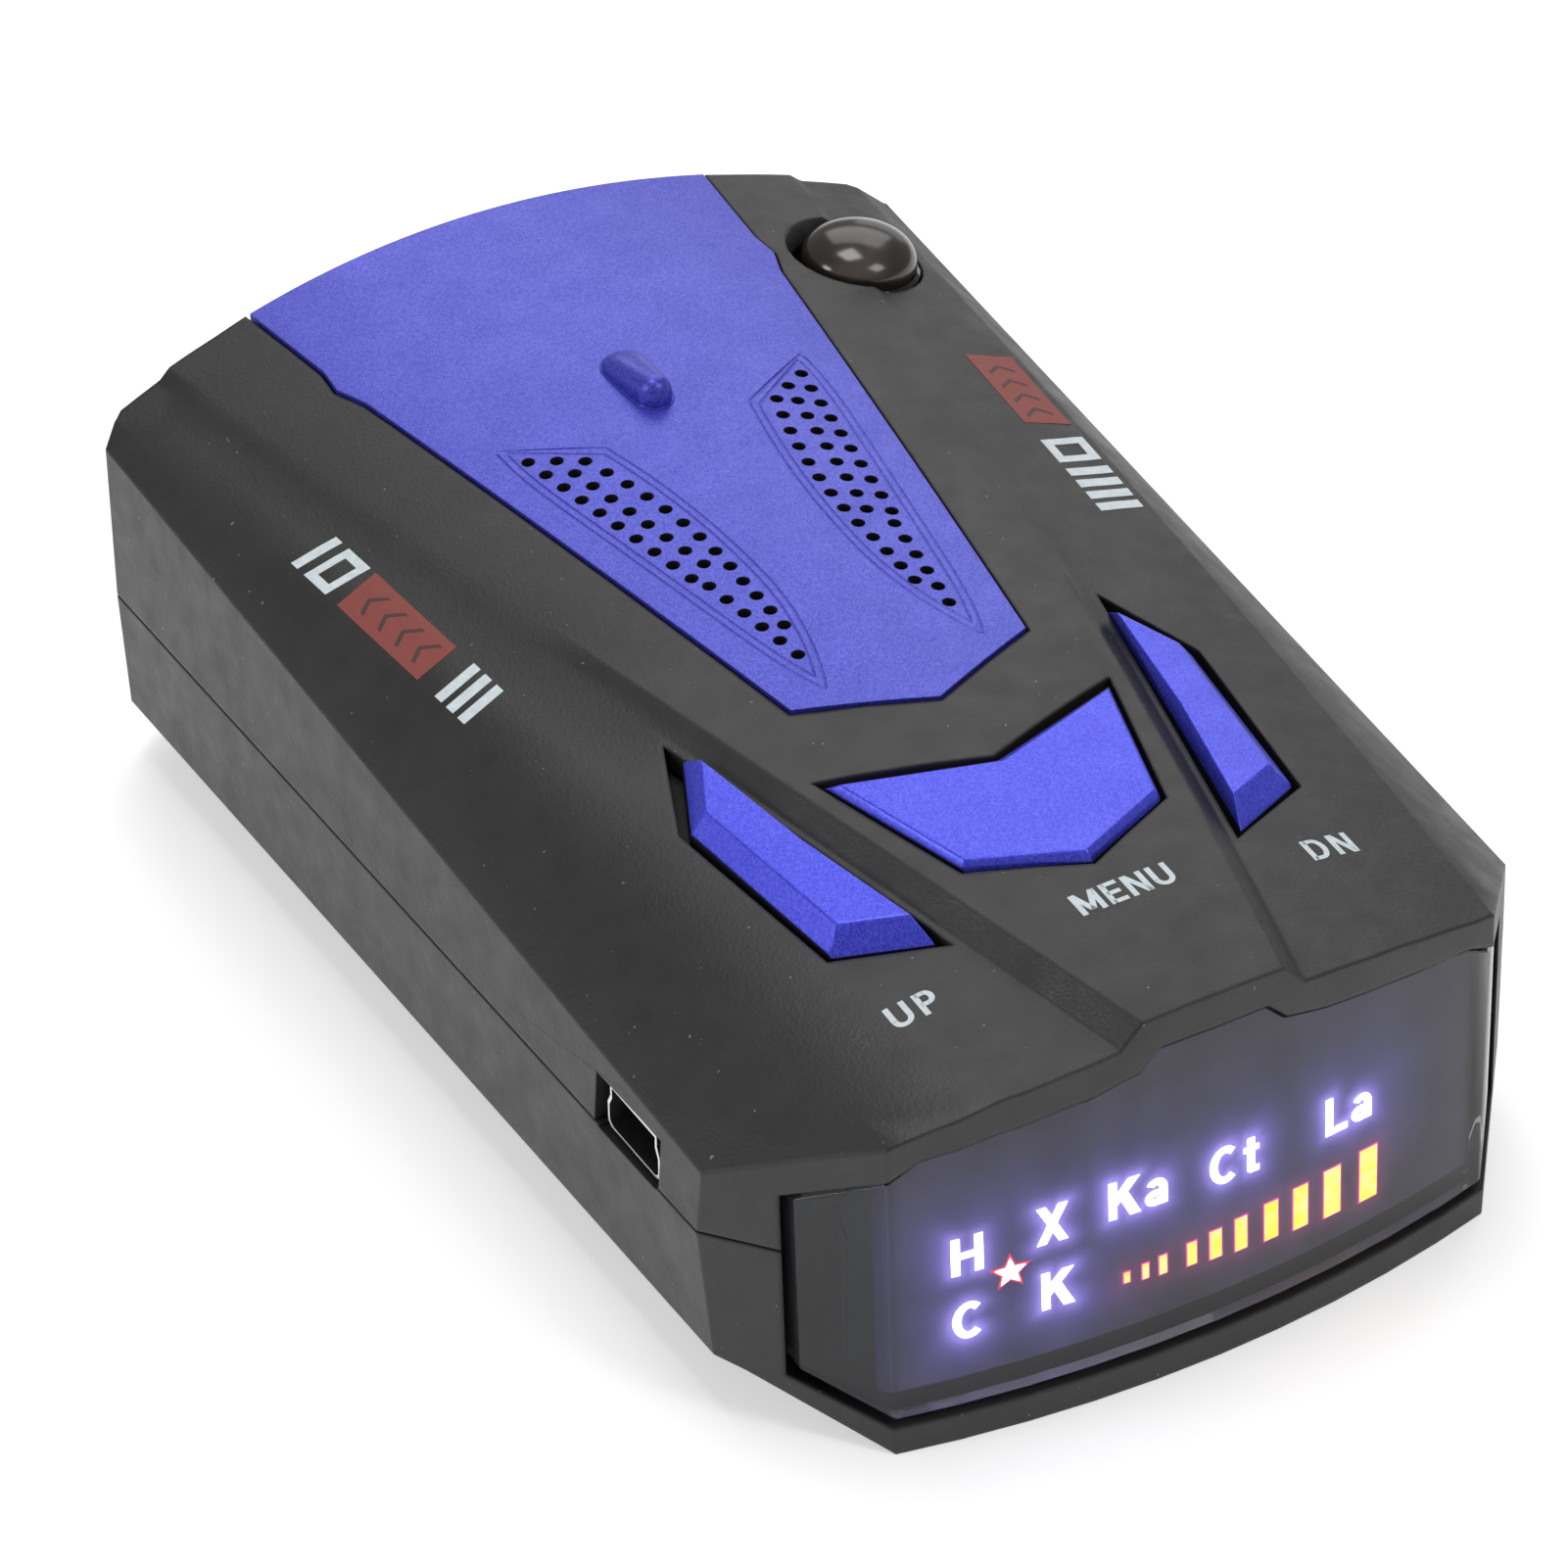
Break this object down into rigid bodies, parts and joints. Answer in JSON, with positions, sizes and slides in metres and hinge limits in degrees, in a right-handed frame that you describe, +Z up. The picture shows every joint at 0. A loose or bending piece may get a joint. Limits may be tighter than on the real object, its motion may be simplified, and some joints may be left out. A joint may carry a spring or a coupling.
{
  "type": "radar detector",
  "caption": "Wedge-shaped vehicle radar detector with painted cover, press buttons, smoked display window, laser dome, USB socket, horn antenna and speaker.",
  "frame": {"origin": "centre of the bounding box at the flat base, z = 0", "axes": "the display looks along -Y and the horn antenna along +Y, +X is to the right of a person who reads the display, +Z is up"},
  "size_m": [0.0704, 0.1086, 0.0375],
  "materials": {
    "case_plastic": "charcoal black, fine moulded texture",
    "cover_paint": "satin metallic blue-violet paint on plastic",
    "button_paint": "satin metallic blue-violet paint on plastic",
    "smoked_window": "smoked acrylic, polished",
    "icon_film": "black printed film with clear signs",
    "white_plastic": "reflective white",
    "dome_lens": "smoked clear lens, polished",
    "black_gloss": "polished black",
    "clear_guide": "clear acrylic",
    "rear_lens": "dark red infrared filter",
    "bright_metal": "plated sheet",
    "gold_contact": "gold flash",
    "chip_black": "moulded black",
    "board_green": "green solder mask over glass laminate",
    "led_resin": "clear resin",
    "switch_black": "moulded black",
    "plunger_red": "moulded red",
    "screw_steel": "zinc plated",
    "cast_metal": "as cast",
    "speaker_steel": "plated pressing",
    "speaker_paper": "treated paper",
    "magnet_ferrite": "sintered",
    "capacitor_sleeve": "shrink sleeve",
    "label_film": "blank silver film"
  },
  "bodies": {
    "case": {"upper_shell": "case_plastic", "lower_shell": "case_plastic", "top_cover": "cover_paint", "dome_seat": "black_gloss", "laser_dome": "dome_lens", "light_guide": "clear_guide", "dome_sensor": "chip_black", "display_lens": "smoked_window", "icon_film": "icon_film", "light_mask": "white_plastic", "display_board": "board_green", "icon_led_1": "led_resin", "icon_led_2": "led_resin", "icon_led_3": "led_resin", "icon_led_4": "led_resin", "icon_led_5": "led_resin", "icon_led_6": "led_resin", "icon_led_7": "led_resin", "bar_led_array": "led_resin", "display_header": "chip_black", "key_board": "board_green", "key_board_screw_1": "screw_steel", "key_board_screw_2": "screw_steel", "key_board_screw_3": "screw_steel", "menu_switch": "switch_black", "up_switch": "switch_black", "down_switch": "switch_black", "main_board": "board_green", "board_header": "chip_black", "processor": "chip_black", "crystal": "bright_metal", "capacitor_1": "capacitor_sleeve", "capacitor_2": "capacitor_sleeve", "usb_shell": "bright_metal", "usb_insulator": "chip_black", "usb_contact_1": "gold_contact", "usb_contact_2": "gold_contact", "usb_contact_3": "gold_contact", "usb_contact_4": "gold_contact", "usb_contact_5": "gold_contact", "horn": "cast_metal", "mixer_board": "board_green", "mixer_shield": "bright_metal", "speaker_frame": "speaker_steel", "speaker_cone": "speaker_paper", "speaker_magnet": "magnet_ferrite", "rear_window": "rear_lens", "rear_sensor": "chip_black", "screw_front_left": "screw_steel", "screw_front_right": "screw_steel", "screw_rear_left": "screw_steel", "screw_rear_right": "screw_steel", "base_label": "label_film"},
    "menu_key": {"menu_button": "button_paint"},
    "menu_switch_plunger": {"menu_plunger": "plunger_red"},
    "up_key": {"up_button": "button_paint"},
    "up_switch_plunger": {"up_plunger": "plunger_red"},
    "down_key": {"down_button": "button_paint"},
    "down_switch_plunger": {"down_plunger": "plunger_red"}
  },
  "joints": [
    {"name": "menu_press", "type": "slide", "parent": "case", "child": "menu_key", "axis": [0, 0, -1], "range_m": [0, 0.0003], "stiffness_N_per_m": 1600, "springref_m": -0.0006},
    {"name": "menu_switch_press", "type": "slide", "parent": "case", "child": "menu_switch_plunger", "axis": [0, 0, -1], "range_m": [0, 0.0003]},
    {"name": "up_press", "type": "slide", "parent": "case", "child": "up_key", "axis": [0, 0, -1], "range_m": [0, 0.0003], "stiffness_N_per_m": 1600, "springref_m": -0.0006},
    {"name": "up_switch_press", "type": "slide", "parent": "case", "child": "up_switch_plunger", "axis": [0, 0, -1], "range_m": [0, 0.0003]},
    {"name": "down_press", "type": "slide", "parent": "case", "child": "down_key", "axis": [0, 0, -1], "range_m": [0, 0.0003], "stiffness_N_per_m": 1600, "springref_m": -0.0006},
    {"name": "down_switch_press", "type": "slide", "parent": "case", "child": "down_switch_plunger", "axis": [0, 0, -1], "range_m": [0, 0.0003]}
  ],
  "couplings": [
    {"joint": "menu_switch_press", "follows": "menu_press", "ratio": 1},
    {"joint": "up_switch_press", "follows": "up_press", "ratio": 1},
    {"joint": "down_switch_press", "follows": "down_press", "ratio": 1}
  ]
}
